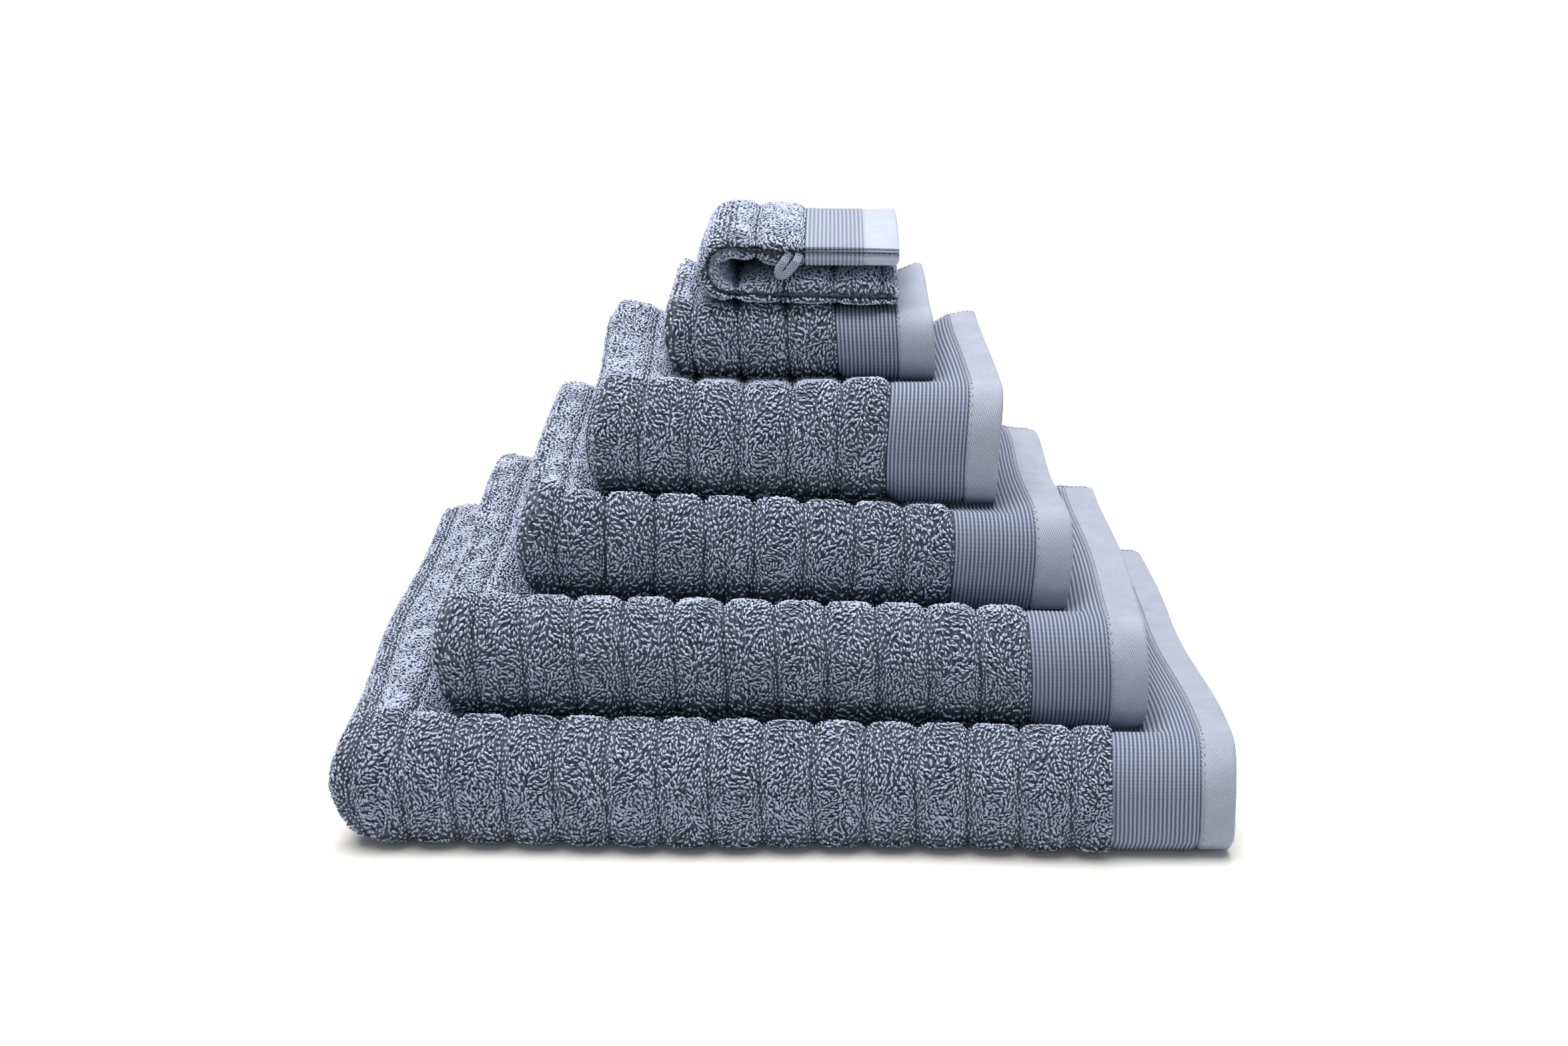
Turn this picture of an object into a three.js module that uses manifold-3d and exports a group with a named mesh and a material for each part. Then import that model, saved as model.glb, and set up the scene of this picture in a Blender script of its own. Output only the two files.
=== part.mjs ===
// A bath towel set: five ribbed terry towels and a wash mitt, folded and stacked largest to
// smallest. Millimetres, +X right, +Y back, +Z up. The origin is the middle of the underside.
import * as THREE from 'three';
import { mergeVertices } from 'three/addons/utils/BufferGeometryUtils.js';
import Module from 'manifold-3d';

const wasm = await Module();
wasm.setup();

// ---------------------------------------------------------------- driving dimensions
// Each towel is cut to cutLength x cutWidth. It is folded over its length into `lengthFolds`
// plies, and then over its width into `widthFolds` panels, with a full-height roll in front.
// `front` is the step back from the bath sheet's front, `shift` the offset to the right.
const towels = [
  { name: 'bath_sheet', cutLength: 1500, cutWidth: 1000, lengthFolds: 3, widthFolds: 3,
    height: 72, front: 0, shift: 0, border: 50, hem: 20 },
  { name: 'bath_towel', cutLength: 1200, cutWidth: 720, lengthFolds: 3, widthFolds: 3,
    height: 55, front: 41, shift: 2.5, border: 45, hem: 22 },
  { name: 'hand_towel', cutLength: 945, cutWidth: 585, lengthFolds: 3, widthFolds: 3,
    height: 53, front: 83, shift: 3.5, border: 47, hem: 22 },
  { name: 'guest_towel', cutLength: 700, cutWidth: 465, lengthFolds: 3, widthFolds: 3,
    height: 59, front: 110, shift: 4, border: 46, hem: 20 },
  { name: 'face_cloth', cutLength: 300, cutWidth: 330, lengthFolds: 2, widthFolds: 3,
    height: 39, front: 146, shift: 7, border: 36, hem: 22 },
];
const foldBulge = 10;          // what the round fold at the left end adds to a folded length
const gap = 0.3;               // clearance between neighbouring pieces
const sideHemDepth = 10;       // folded and sewn long edge of every towel
const stitchWidth = 1.2;       // thread line that closes the end hem
const stitchDepth = 1.6;       // how deep that thread line sits in the cloth
const rollShare = 0.42;        // depth of the front roll as a share of the towel's height
const endRound = 7;            // rounding of the hemmed right end
const cornerRound = 14;        // rounding of the corners seen from above

const mittLength = 220;        // the wash mitt, flat, from its mouth to its closed end
const mittDepth = 105;         // its width, which runs front to back
const mittFoldBulge = 9;       // what its round fold adds to half its length
const mittPanel = 10.7;        // one terry panel of the lower half
const mittUnderPanel = 8;      // panel under the pocket in the upper half
const mittPocket = 5.4;        // open height of the hand pocket at the mouth
const mittTopPanel = 8.6;      // panel over the pocket
const mittBorder = 34;
const mittHem = 21;
const mittSeam = 5;            // width of the side seams that close the pocket
const mittFront = 150;         // step back from the bath sheet's front
const mittShift = 5.5;

const loopWidth = 15;          // hanging loop of woven tape, across
const loopHeight = 18;         // from the seam down
const loopWall = 2.4;
const tapeWidth = 4;
const loopSetIn = 4;           // how far the loop hangs left of the border
const loopClearance = 1;       // between the loop and the mitt's front

// ---------------------------------------------------------------- finishes
const slate = { color: 0x74809a, roughness: 0.95, metalness: 0 };
const finishes = {
  terry: () => new THREE.MeshStandardMaterial(slate),
  border: () => new THREE.MeshStandardMaterial({ ...slate, color: 0x7d89a2, roughness: 0.85 }),
  hem: () => new THREE.MeshStandardMaterial({ ...slate, color: 0x8590a8, roughness: 0.8 }),
  thread: () => new THREE.MeshStandardMaterial({ ...slate, color: 0x66728c, roughness: 0.7 }),
  tape: () => new THREE.MeshStandardMaterial({ ...slate, color: 0x6c7892, roughness: 0.75 }),
};

// ---------------------------------------------------------------- solid helpers
const group = new THREE.Group();

function toSolid(geometry, matrix = new THREE.Matrix4()) {
  const bare = geometry.clone().applyMatrix4(matrix);
  bare.deleteAttribute('normal');
  bare.deleteAttribute('uv');
  const merged = mergeVertices(bare, 1e-4);
  return new wasm.Manifold(new wasm.Mesh({
    numProp: 3,
    vertProperties: new Float32Array(merged.attributes.position.array),
    triVerts: new Uint32Array(merged.index.array),
  }));
}

function addPiece(name, solid, finish) {
  const { vertProperties, triVerts } = solid.getMesh();
  const geometry = new THREE.BufferGeometry();
  geometry.setAttribute('position', new THREE.BufferAttribute(new Float32Array(vertProperties), 3));
  geometry.setIndex(new THREE.BufferAttribute(new Uint32Array(triVerts), 1));
  geometry.computeVertexNormals();
  const mesh = new THREE.Mesh(geometry, finishes[finish]());
  mesh.name = name;
  group.add(mesh);
}

function box(x0, x1, y0, y1, z0, z1) {
  const geometry = new THREE.BoxGeometry(x1 - x0, y1 - y0, z1 - z0);
  const centre = new THREE.Vector3((x0 + x1) / 2, (y0 + y1) / 2, (z0 + z1) / 2);
  return toSolid(geometry, new THREE.Matrix4().makeTranslation(centre));
}

// A shape drawn in (first, second) axes, pushed along the third. The matrices keep the
// triangles facing out, because each one is a pure turn.
const drawnYZ = new THREE.Matrix4().makeBasis(
  new THREE.Vector3(0, 1, 0), new THREE.Vector3(0, 0, 1), new THREE.Vector3(1, 0, 0));
const drawnXZ = new THREE.Matrix4().makeBasis(
  new THREE.Vector3(1, 0, 0), new THREE.Vector3(0, 0, 1), new THREE.Vector3(0, -1, 0));

function extrude(shape, from, to, plane, curveSegments = 8) {
  const geometry = new THREE.ExtrudeGeometry(shape, { depth: to - from, bevelEnabled: false,
    curveSegments });
  const lift = new THREE.Matrix4().makeTranslation(0, 0, from);
  return toSolid(geometry, plane ? plane.clone().multiply(lift) : lift);
}

// A rectangle whose four corners are quarter ellipses: [across, up] for each corner.
function roundedOutline(x0, x1, y0, y1, corners) {
  const { lowLeft, lowRight, topRight, topLeft } = corners;
  const shape = new THREE.Shape();
  shape.moveTo(x0 + lowLeft[0], y0);
  shape.lineTo(x1 - lowRight[0], y0);
  shape.absellipse(x1 - lowRight[0], y0 + lowRight[1], ...lowRight, -Math.PI / 2, 0);
  shape.lineTo(x1, y1 - topRight[1]);
  shape.absellipse(x1 - topRight[0], y1 - topRight[1], ...topRight, 0, Math.PI / 2);
  shape.lineTo(x0 + topLeft[0], y1);
  shape.absellipse(x0 + topLeft[0], y1 - topLeft[1], ...topLeft, Math.PI / 2, Math.PI);
  shape.lineTo(x0, y0 + lowLeft[1]);
  shape.absellipse(x0 + lowLeft[0], y0 + lowLeft[1], ...lowLeft, Math.PI, 1.5 * Math.PI);
  return shape;
}

// ---------------------------------------------------------------- towels
// Side view of a folded towel (y, z): a full-height roll in front, and at the back the fold of
// the two lower panels, under the free edge of the top panel.
function foldedSection(place, inset) {
  const { y0, y1, z0, z1 } = place;
  const height = z1 - z0;
  const roll = height * rollShare - inset;
  const panel = height / 3;
  const shape = new THREE.Shape();
  const low = z0 + inset;
  const high = z1 - inset;
  const half = (high - low) / 2;
  const flap = y1 - sideHemDepth - gap - inset;
  shape.moveTo(y0 + inset + roll, low);
  shape.lineTo(y1 - panel, low);
  shape.absellipse(y1 - panel, z0 + panel, panel - inset, panel - inset, -Math.PI / 2, Math.PI / 3);
  shape.lineTo(flap, z0 + 2 * panel - inset);
  shape.lineTo(flap, high);
  shape.lineTo(y0 + inset + roll, high);
  shape.absellipse(y0 + inset + roll, low + half, roll, half, Math.PI / 2, 1.5 * Math.PI);
  return shape;
}

// The space a towel fills, with its round left fold and its soft corners.
function towelEnvelope(place) {
  const { x0, x1, y0, y1, z0, z1 } = place;
  const leftRound = (z1 - z0) * 0.3;
  const facing = roundedOutline(x0, x1, z0, z1, {
    lowLeft: [leftRound, leftRound], topLeft: [leftRound, leftRound],
    lowRight: [endRound, endRound], topRight: [endRound, endRound] });
  const fromAbove = roundedOutline(x0, x1, y0, y1, {
    lowLeft: [cornerRound, cornerRound], lowRight: [cornerRound / 2, cornerRound / 2],
    topRight: [cornerRound / 2, cornerRound / 2], topLeft: [cornerRound, cornerRound] });
  return extrude(facing, -y1, -y0, drawnXZ).intersect(extrude(fromAbove, z0, z1, null));
}

function makeTowel(towel, z0) {
  const width = towel.cutLength / towel.lengthFolds + foldBulge;
  const depth = towel.cutWidth / towel.widthFolds;
  const x0 = towel.shift - width / 2;
  const y0 = towel.front - stackDepth / 2;
  const place = { x0, x1: x0 + width, y0, y1: y0 + depth, z0, z1: z0 + towel.height };
  const { x1, y1, z1 } = place;
  const envelope = towelEnvelope(place);
  const body = extrude(foldedSection(place, 0), x0, x1, drawnYZ).intersect(envelope);
  const core = extrude(foldedSection(place, stitchDepth), x0, x1, drawnYZ);
  const hemStart = x1 - towel.hem;
  const borderStart = hemStart - towel.border;
  const borderEnd = hemStart - stitchWidth - 2 * gap;
  const slice = (from, to) => body.intersect(box(from, to, y0 - 1, y1 + 1, z0 - 1, z1 + 1));

  addPiece(`${towel.name}_terry`, slice(x0 - 1, borderStart - gap), 'terry');
  addPiece(`${towel.name}_border`, slice(borderStart, borderEnd), 'border');
  addPiece(`${towel.name}_end_hem`, slice(hemStart, x1 + 1), 'hem');
  const seamLow = z0 + stitchDepth;
  const seamSpace = box(borderEnd + gap, hemStart - gap, y0 - 1, y1 + 1, seamLow, z1 + 1);
  addPiece(`${towel.name}_hem_stitching`, body.intersect(seamSpace).subtract(core), 'thread');

  const hemLow = z0 + 2 * towel.height / 3;
  const edgeRound = (z1 - hemLow) * 0.35;
  const edge = roundedOutline(y1 - sideHemDepth, y1, hemLow, z1, {
    lowLeft: [1, 1], lowRight: [edgeRound, edgeRound],
    topRight: [edgeRound, edgeRound], topLeft: [1, 1] });
  addPiece(`${towel.name}_side_hem`, extrude(edge, x0, x1, drawnYZ).intersect(envelope), 'hem');
}

const stackDepth = towels[0].cutWidth / towels[0].widthFolds;
let stackTop = 0;
for (const towel of towels) {
  makeTowel(towel, stackTop);
  stackTop += towel.height + gap;
}

// ---------------------------------------------------------------- wash mitt
// The mitt is folded in half about its left end. Its closed end lies below, and the half with
// the mouth lies on it, with the hand pocket open to the right.
function makeMitt(z0) {
  const width = mittLength / 2 + mittFoldBulge;
  const x0 = mittShift - width / 2;
  const x1 = x0 + width;
  const y0 = mittFront - stackDepth / 2;
  const y1 = y0 + mittDepth;
  const lowerTop = z0 + 2 * mittPanel + gap;
  const upper = lowerTop + gap;
  const pocketLow = upper + mittUnderPanel;
  const pocketHigh = pocketLow + mittPocket;
  const z1 = pocketHigh + mittTopPanel;
  const foldEnd = x0 + 2 * mittPanel;
  const hemStart = x1 - mittHem;
  const borderStart = hemStart - mittBorder;
  const soft = (xa, xb, za, zb, corners) => extrude(roundedOutline(xa, xb, za, zb, {
    lowLeft: [1, 1], lowRight: [1, 1], topRight: [1, 1], topLeft: [1, 1], ...corners }),
  -y1, -y0, drawnXZ);
  const big = [2 * mittPanel - 3, 2 * mittPanel - 3];
  const edge = [3, 3];

  addPiece('mitt_lower_fold', soft(x0, foldEnd, z0, lowerTop, { lowLeft: big }), 'terry');
  addPiece('mitt_lower_back', soft(foldEnd + gap, x1, z0, z0 + mittPanel,
    { lowRight: edge, topRight: edge }), 'terry');
  addPiece('mitt_lower_palm', soft(foldEnd + gap, x1, z0 + mittPanel + gap, lowerTop,
    { lowRight: edge, topRight: edge }), 'terry');

  addPiece('mitt_upper_fold', soft(x0, foldEnd, upper, z1, { topLeft: big }), 'terry');
  const layers = [
    ['under', upper, pocketLow],
    ['top', pocketHigh, z1],
  ];
  for (const [layer, low, high] of layers) {
    addPiece(`mitt_${layer}_terry`, soft(foldEnd + gap, borderStart - gap, low, high), 'terry');
    addPiece(`mitt_${layer}_border`, soft(borderStart, hemStart - gap, low, high), 'border');
    addPiece(`mitt_${layer}_hem`, soft(hemStart, x1, low, high,
      { lowRight: edge, topRight: edge }), 'hem');
  }
  const seams = [['front', y0], ['back', y1 - mittSeam]];
  for (const [side, y] of seams) {
    addPiece(`mitt_${side}_seam`, box(foldEnd + gap, x1 - 1, y, y + mittSeam,
      pocketLow + gap, pocketHigh - gap), 'thread');
  }
  makeLoop(borderStart - loopSetIn, y0, pocketLow);
}

// The hanging loop: a length of woven tape, doubled and caught in the front seam.
function makeLoop(right, mittFace, seamHeight) {
  const left = right - loopWidth;
  const bottom = seamHeight - loopHeight;
  const round = loopWidth / 2;
  const corners = (r) => ({ lowLeft: [r, r], lowRight: [r, r], topRight: [2, 2], topLeft: [2, 2] });
  const ring = roundedOutline(left, right, bottom, seamHeight, corners(round));
  ring.holes.push(roundedOutline(left + loopWall, right - loopWall, bottom + loopWall,
    seamHeight - loopWall, corners(round - loopWall)));
  const back = mittFace - loopClearance;
  addPiece('mitt_hanging_loop', extrude(ring, -back, tapeWidth - back, drawnXZ), 'tape');
}

makeMitt(stackTop);

export default group;
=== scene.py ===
# %% [markdown]
# # A folded bath towel set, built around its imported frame
# Six pieces of ribbed cotton terry are stacked from a bath sheet up to a small wash mitt. The
# frame holds each one as a plain folded block. This lesson gives every block its real cloth:
# folded plies, ribs, a corded border, a hem, sewing thread, and tens of thousands of loops.

# %% Load the frame
import math

import bpy
import numpy as np
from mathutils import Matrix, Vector


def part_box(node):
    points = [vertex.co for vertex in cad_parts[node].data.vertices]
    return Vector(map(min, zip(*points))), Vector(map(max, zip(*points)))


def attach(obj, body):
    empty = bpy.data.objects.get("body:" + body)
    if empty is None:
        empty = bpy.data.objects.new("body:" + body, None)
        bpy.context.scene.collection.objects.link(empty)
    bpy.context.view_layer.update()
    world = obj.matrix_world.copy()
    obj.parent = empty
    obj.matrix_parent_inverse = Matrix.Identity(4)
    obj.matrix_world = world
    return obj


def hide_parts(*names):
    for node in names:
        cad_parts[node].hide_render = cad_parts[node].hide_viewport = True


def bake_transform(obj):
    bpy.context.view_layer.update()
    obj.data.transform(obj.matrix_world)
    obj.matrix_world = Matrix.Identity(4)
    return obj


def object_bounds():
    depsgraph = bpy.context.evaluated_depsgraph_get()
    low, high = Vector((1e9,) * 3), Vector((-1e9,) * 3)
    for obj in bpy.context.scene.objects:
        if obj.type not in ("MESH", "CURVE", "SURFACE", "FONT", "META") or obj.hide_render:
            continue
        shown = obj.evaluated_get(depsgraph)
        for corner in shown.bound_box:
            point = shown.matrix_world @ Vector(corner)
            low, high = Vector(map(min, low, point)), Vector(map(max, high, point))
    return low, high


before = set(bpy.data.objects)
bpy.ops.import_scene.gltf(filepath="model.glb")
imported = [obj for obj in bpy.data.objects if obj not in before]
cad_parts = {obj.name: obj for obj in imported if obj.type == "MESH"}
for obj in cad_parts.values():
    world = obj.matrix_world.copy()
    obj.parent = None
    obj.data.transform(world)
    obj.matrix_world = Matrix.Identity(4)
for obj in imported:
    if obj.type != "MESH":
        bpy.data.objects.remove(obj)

MM = 0.001
cad_low, cad_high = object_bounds()

# %% [markdown]
# ## The camera
# The stack is looked at from a little above, slightly off its middle. The lens is a short
# portrait lens, so the back of each towel draws in. Blender's usual view transform would grey
# the white floor, so the plain one is set, and the cloth's colours come out as chosen.

# %% Camera
CAMERA_BACK = 833 * MM                 # distance in front of the stack's front edge
CAMERA_HEIGHT = 540 * MM
CAMERA_RIGHT = 22 * MM
CAMERA_DOWN = math.radians(21.9)
CAMERA_TURN = math.radians(1.41)
SENSOR_WIDTH = 36.0
LENS = 39.4

camera_data = bpy.data.cameras.new("camera")
camera_data.sensor_width = SENSOR_WIDTH
camera_data.lens = LENS
camera = bpy.data.objects.new("camera", camera_data)
bpy.context.scene.collection.objects.link(camera)
camera.location = (CAMERA_RIGHT, cad_low[1] - CAMERA_BACK, CAMERA_HEIGHT)
camera.rotation_euler = (math.pi / 2 - CAMERA_DOWN, 0, CAMERA_TURN)
bpy.context.scene.camera = camera
bpy.context.scene.view_settings.view_transform = "Standard"
print("camera at", [round(v, 3) for v in camera.location], "m, lens", LENS, "mm")

# %% [markdown]
# ## Finishes
# Cotton cloth is matt, and what makes it read as cloth is how light its raised yarns are and how
# dark the gaps between them. So each finish is a mix of a pale and a deep slate, driven by the
# weave, and the deep slate in a gap is painted shade. A small class lets the node maths be written
# as ordinary Python.

# %% A socket that can be used in sums
class Value:
    def __init__(self, tree, socket):
        self.tree = tree
        self.socket = socket

    def maths(self, operation, other=None, flip=False, clamp=False):
        node = self.tree.nodes.new("ShaderNodeMath")
        node.operation = operation
        node.use_clamp = clamp
        pair = [self] if other is None else [other, self] if flip else [self, other]
        for k, item in enumerate(pair):
            if isinstance(item, Value):
                self.tree.links.new(item.socket, node.inputs[k])
            else:
                node.inputs[k].default_value = item
        return Value(self.tree, node.outputs[0])

    def __add__(self, other):
        return self.maths("ADD", other)

    __radd__ = __add__

    def __mul__(self, other):
        return self.maths("MULTIPLY", other)

    __rmul__ = __mul__

    def __sub__(self, other):
        return self.maths("SUBTRACT", other)

    def __rsub__(self, other):
        return self.maths("SUBTRACT", other, flip=True)

    def power(self, other):
        return self.maths("POWER", other)

    def sine(self):
        return self.maths("SINE")

    def clamped(self):
        return self.maths("ADD", 0.0, clamp=True)

# %% A material that is written node by node
SOFT_SHEEN = 0.5                       # the roughness of the sheen, and a low specular level,
DULL_SPECULAR = 0.12                   # keep cotton from looking like satin


class Finish:
    def __init__(self, name, roughness, sheen):
        self.material = bpy.data.materials.new(name)
        self.material.use_nodes = True
        self.tree = self.material.node_tree
        self.shader = self.tree.nodes["Principled BSDF"]
        self.shader.inputs["Roughness"].default_value = roughness
        self.shader.inputs["Sheen Weight"].default_value = sheen
        self.shader.inputs["Sheen Roughness"].default_value = SOFT_SHEEN
        self.shader.inputs["Specular IOR Level"].default_value = DULL_SPECULAR

    def node(self, kind, settings=None, **sockets):
        node = self.tree.nodes.new("ShaderNode" + kind)
        for key, setting in (settings or {}).items():
            setattr(node, key, setting)
        for key, item in sockets.items():
            socket = node.inputs[key.replace("_", " ")]
            if isinstance(item, Value):
                self.tree.links.new(item.socket, socket)
            else:
                socket.default_value = item
        return node

    def output(self, node, name=0):
        return Value(self.tree, node.outputs[name])

    def uv(self):
        node = self.node("UVMap", {"uv_map": "cloth"})
        split = self.node("SeparateXYZ", Vector=self.output(node))
        return self.output(split, 0), self.output(split, 1)

    def place(self):
        return self.output(self.node("TexCoord"), "Object")

    def attribute(self, name):
        return self.output(self.node("Attribute", {"attribute_name": name}), "Fac")

    def noise(self, where, scale, detail=2.0):
        node = self.node("TexNoise", Vector=where, Scale=scale, Detail=detail)
        return self.output(node)

    def mix(self, share, low, high):
        node = self.node("Mix", {"data_type": "RGBA"})
        for key, item in ((0, share), (6, low), (7, high)):
            if isinstance(item, Value):
                self.tree.links.new(item.socket, node.inputs[key])
            else:
                node.inputs[key].default_value = item if key == 0 else (*item, 1.0)
        return self.output(node, 2)

    def bump(self, height, strength, distance):
        node = self.node("Bump", Strength=strength, Distance=distance, Height=height)
        self.tree.links.new(node.outputs[0], self.shader.inputs["Normal"])

    def colour(self, value):
        self.tree.links.new(value.socket, self.shader.inputs["Base Color"])

# %% The slate shades that all the cloth shares
# DEEP and DARK, where they fill the gaps between loops and cords, are painted shade.
DEEP = (0.016, 0.021, 0.036)
DARK = (0.052, 0.072, 0.136)
MIDDLE = (0.118, 0.140, 0.200)
PALE = (0.480, 0.542, 0.670)
PILE_PALE = (0.455, 0.530, 0.700)      # the loops, a little bluer than the flat weaves
print("slate shades:", DEEP, DARK, MIDDLE, PALE, PILE_PALE)

# %% [markdown]
# ## The terry's loops and the ground they stand on
# Terry is loops over a ground cloth, and the light and shade on them is painted. Every point of
# a loop carries a number called shade, high on its crest and low at its feet, higher where the loop
# faces up, and different at random from loop to loop, and that number picks its slate: painted
# light on the crests and tops, painted shade at the feet. It is kept in the mesh, so it costs
# nothing to render. The ground is painted dark between the loops' feet, as painted shade. On the
# ground, shade is 1 where no loops are made, and there a Voronoi pattern paints them on, paler.

# %% Terry finishes
def pile_finish():
    finish = Finish("terry_loops", roughness=0.92, sheen=0.1)
    # Painted light and shade: the shade attribute, high on lit crests and up-facing loops and low at
    # their feet, picks the slate.
    lit = finish.attribute("shade")
    patches = finish.noise(finish.place(), 42.0)
    fibres = finish.noise(finish.place(), 2600.0, 3.0)
    share = (lit.power(1.2) * 0.95 + patches * 0.30 + fibres * 0.22 - 0.06).clamped()
    finish.colour(finish.mix(share, DARK, PILE_PALE))
    finish.bump(fibres, 0.4, 0.2 * MM)
    return finish.material


def ground_finish():
    """Painted shade: dark between the loops. Where no loops are made, shade is 1 and paler yarns are
    painted on.
    """
    finish = Finish("terry_ground", roughness=0.95, sheen=0.05)
    along, across = finish.uv()
    bald = finish.attribute("shade")
    place = finish.place()
    bend = finish.noise(place, 260.0, 1.0)
    where = finish.output(finish.node("CombineXYZ", X=along + bend * 2.2 * MM,
                                      Y=across * 0.62 + bend * 1.4 * MM))
    cells = finish.node("TexVoronoi", {"feature": "F1"}, Vector=where, Scale=640.0)
    loops = 1.0 - finish.output(cells, "Distance") * 1.35
    patches = finish.noise(place, 60.0)
    # The painted loops are pale in their middles and dark between, as painted light and shade, and
    # paler still where shade is 1.
    painted = (loops.clamped() * 0.62 + patches * 0.3 - 0.10) * (bald * 0.6 + 0.4)
    share = (painted + bald * 0.22 + 0.02).clamped()
    finish.colour(finish.mix(share, DEEP, PILE_PALE))
    finish.bump(loops, 0.8, 1.2 * MM)
    return finish.material

# %% [markdown]
# ## The flat weaves
# The border, the hem and the loop's tape are woven flat and evenly, so a sine wave over the
# cloth's own coordinates draws their yarns, and a fine noise roughens them. The border's cords
# are real relief, and its shade is 1 on a cord and 0 between two, which paints the gaps between
# cords dark as painted shade. On the mitt the hem and the border are painted paler, as painted
# light. The tape's yarns slant both ways and meet in a V along its middle. The sewing thread is
# too thin to need more than noise.

# %% Woven finishes
YARN_STEP = 1.5 * MM
TWILL_STEP = 1.9 * MM
BRAID_STEP = 1.7 * MM


def stripes(place, step):
    """A wave from 0 to 1, one to a step."""
    return (place * (2 * math.pi / step)).sine() * 0.5 + 0.5


def border_finish():
    finish = Finish("corded_border", roughness=0.8, sheen=0.1)
    across = finish.uv()[1]
    relief = finish.attribute("shade")
    yarns = stripes(across, YARN_STEP)
    fibres = finish.noise(finish.place(), 1800.0, 2.0)
    # Painted shade: where shade is low, between two cords, the border is painted darker.
    share = (relief.power(1.4) * 0.72 + yarns * 0.06 + fibres * 0.30 - 0.20).clamped()
    finish.colour(finish.mix(share, DARK, PALE))
    finish.bump(yarns * 0.6 + fibres, 0.5, 0.25 * MM)
    return finish.material


def hem_finish():
    finish = Finish("twill_hem", roughness=0.8, sheen=0.1)
    along, across = finish.uv()
    slant = stripes(along * 1.4 + across, TWILL_STEP)
    fibres = finish.noise(finish.place(), 1500.0, 2.0)
    patches = finish.noise(finish.place(), 70.0)
    # Painted light: where shade is 1, on the mitt, the hem is painted paler.
    paler = finish.attribute("shade") * 0.2
    share = (slant * 0.42 + fibres * 0.45 + patches * 0.25 + paler - 0.06).clamped()
    finish.colour(finish.mix(share, MIDDLE, PALE))
    finish.bump(slant + fibres * 0.5, 0.6, 0.3 * MM)
    return finish.material


def tape_finish():
    finish = Finish("braided_tape", roughness=0.8, sheen=0.1)
    along, across = finish.uv()
    side = across.maths("ABSOLUTE")
    braid = stripes(along + side * 1.3, BRAID_STEP)
    fibres = finish.noise(finish.place(), 1800.0, 2.0)
    share = (braid.power(1.4) * 0.62 + fibres * 0.35 - 0.02).clamped()
    finish.colour(finish.mix(share, DARK, PALE))
    finish.bump(braid + fibres * 0.4, 0.8, 0.35 * MM)
    return finish.material


def thread_finish():
    finish = Finish("sewing_thread", roughness=0.6, sheen=0.1)
    fibres = finish.noise(finish.place(), 3000.0, 2.0)
    finish.colour(finish.mix(fibres, DARK, PALE))
    finish.bump(fibres, 0.4, 0.1 * MM)
    return finish.material


PILE, GROUND, BORDER, HEM, TAPE, THREAD = (
    pile_finish(), ground_finish(), border_finish(), hem_finish(), tape_finish(),
    thread_finish())
print("finishes:", [m.name for m in (PILE, GROUND, BORDER, HEM, TAPE, THREAD)])

# %% [markdown]
# ## Folding a flat cloth
# A folded towel is one flat cloth bent twice. First it is folded over its length, so its hemmed
# end lies on the outside. Then that narrow stack of plies is folded over its width, with a round
# roll in front. Each fold is a path in a plane. A point of the cloth is put on the first path,
# its height above the middle ply is kept, and the second path then bends that height too. So
# every ply, also the hidden ones, has its true length and place.

# %% A path that knows its length and which way is out
SAME_PLACE = 1e-7                      # points nearer than this, in metres, count as one


class Path:
    def __init__(self, points):
        self.points = np.array(points, float)
        steps = np.linalg.norm(np.diff(self.points, axis=0), axis=1)
        apart = steps > SAME_PLACE
        self.points = self.points[np.concatenate([[True], apart])]
        steps = steps[apart]
        self.along = np.concatenate([[0.0], np.cumsum(steps)])
        tangent = np.gradient(self.points, self.along, axis=0)
        tangent /= np.linalg.norm(tangent, axis=1)[:, None]
        self.normals = np.column_stack([tangent[:, 1], -tangent[:, 0]])
        self.length = self.along[-1]

    def at(self, distance):
        place = [np.interp(distance, self.along, self.points[:, k]) for k in (0, 1)]
        normal = [np.interp(distance, self.along, self.normals[:, k]) for k in (0, 1)]
        size = np.hypot(*normal)
        return place[0], place[1], normal[0] / size, normal[1] / size


def straight(start, end, step=2 * MM):
    count = max(2, int(math.hypot(end[0] - start[0], end[1] - start[1]) / step))
    return [(start[0] + (end[0] - start[0]) * k / count,
             start[1] + (end[1] - start[1]) * k / count) for k in range(count + 1)]


def turn(centre, reach, rise, start, end, power=2.0, count=24):
    """Part of a rounded loop. A power above 2 makes it squarer than an ellipse."""
    found = []
    for k in range(count + 1):
        angle = start + (end - start) * k / count
        c, s = math.cos(angle), math.sin(angle)
        found.append((centre[0] + reach * math.copysign(abs(c) ** (2 / power), c),
                      centre[1] + rise * math.copysign(abs(s) ** (2 / power), s)))
    return found

# %% [markdown]
# ## How the stack settles
# Soft towels don't lie level. Each one is squeezed under the towel on it and puffs up beside it,
# more at the folded left end than at the thin hemmed end, which droops towards the back. The
# height of every towel's top is a smooth function of its place, and the next towel's underside
# follows the same function, so the two always fit. The border and the hem are thinner than the
# terry, so there the underside sags a little more, until it lies on.

# %% The towels, read from the frame
PITCH = 29.0 * MM                      # one rib
TOWEL_NAMES = ["bath_sheet", "bath_towel", "hand_towel", "guest_towel", "face_cloth"]
ZONES = ["terry", "border", "end_hem", "side_hem", "hem_stitching"]


def smooth(value, start, end):
    t = np.clip((value - start) / (end - start), 0, 1)
    return t * t * (3 - 2 * t)


def depth_inside(box, x, y):
    """How far a place lies inside a box, seen from above. Outside it is negative."""
    return np.minimum.reduce([x - box.low[0], box.high[0] - x, y - box.low[1], box.high[1] - y])


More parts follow.
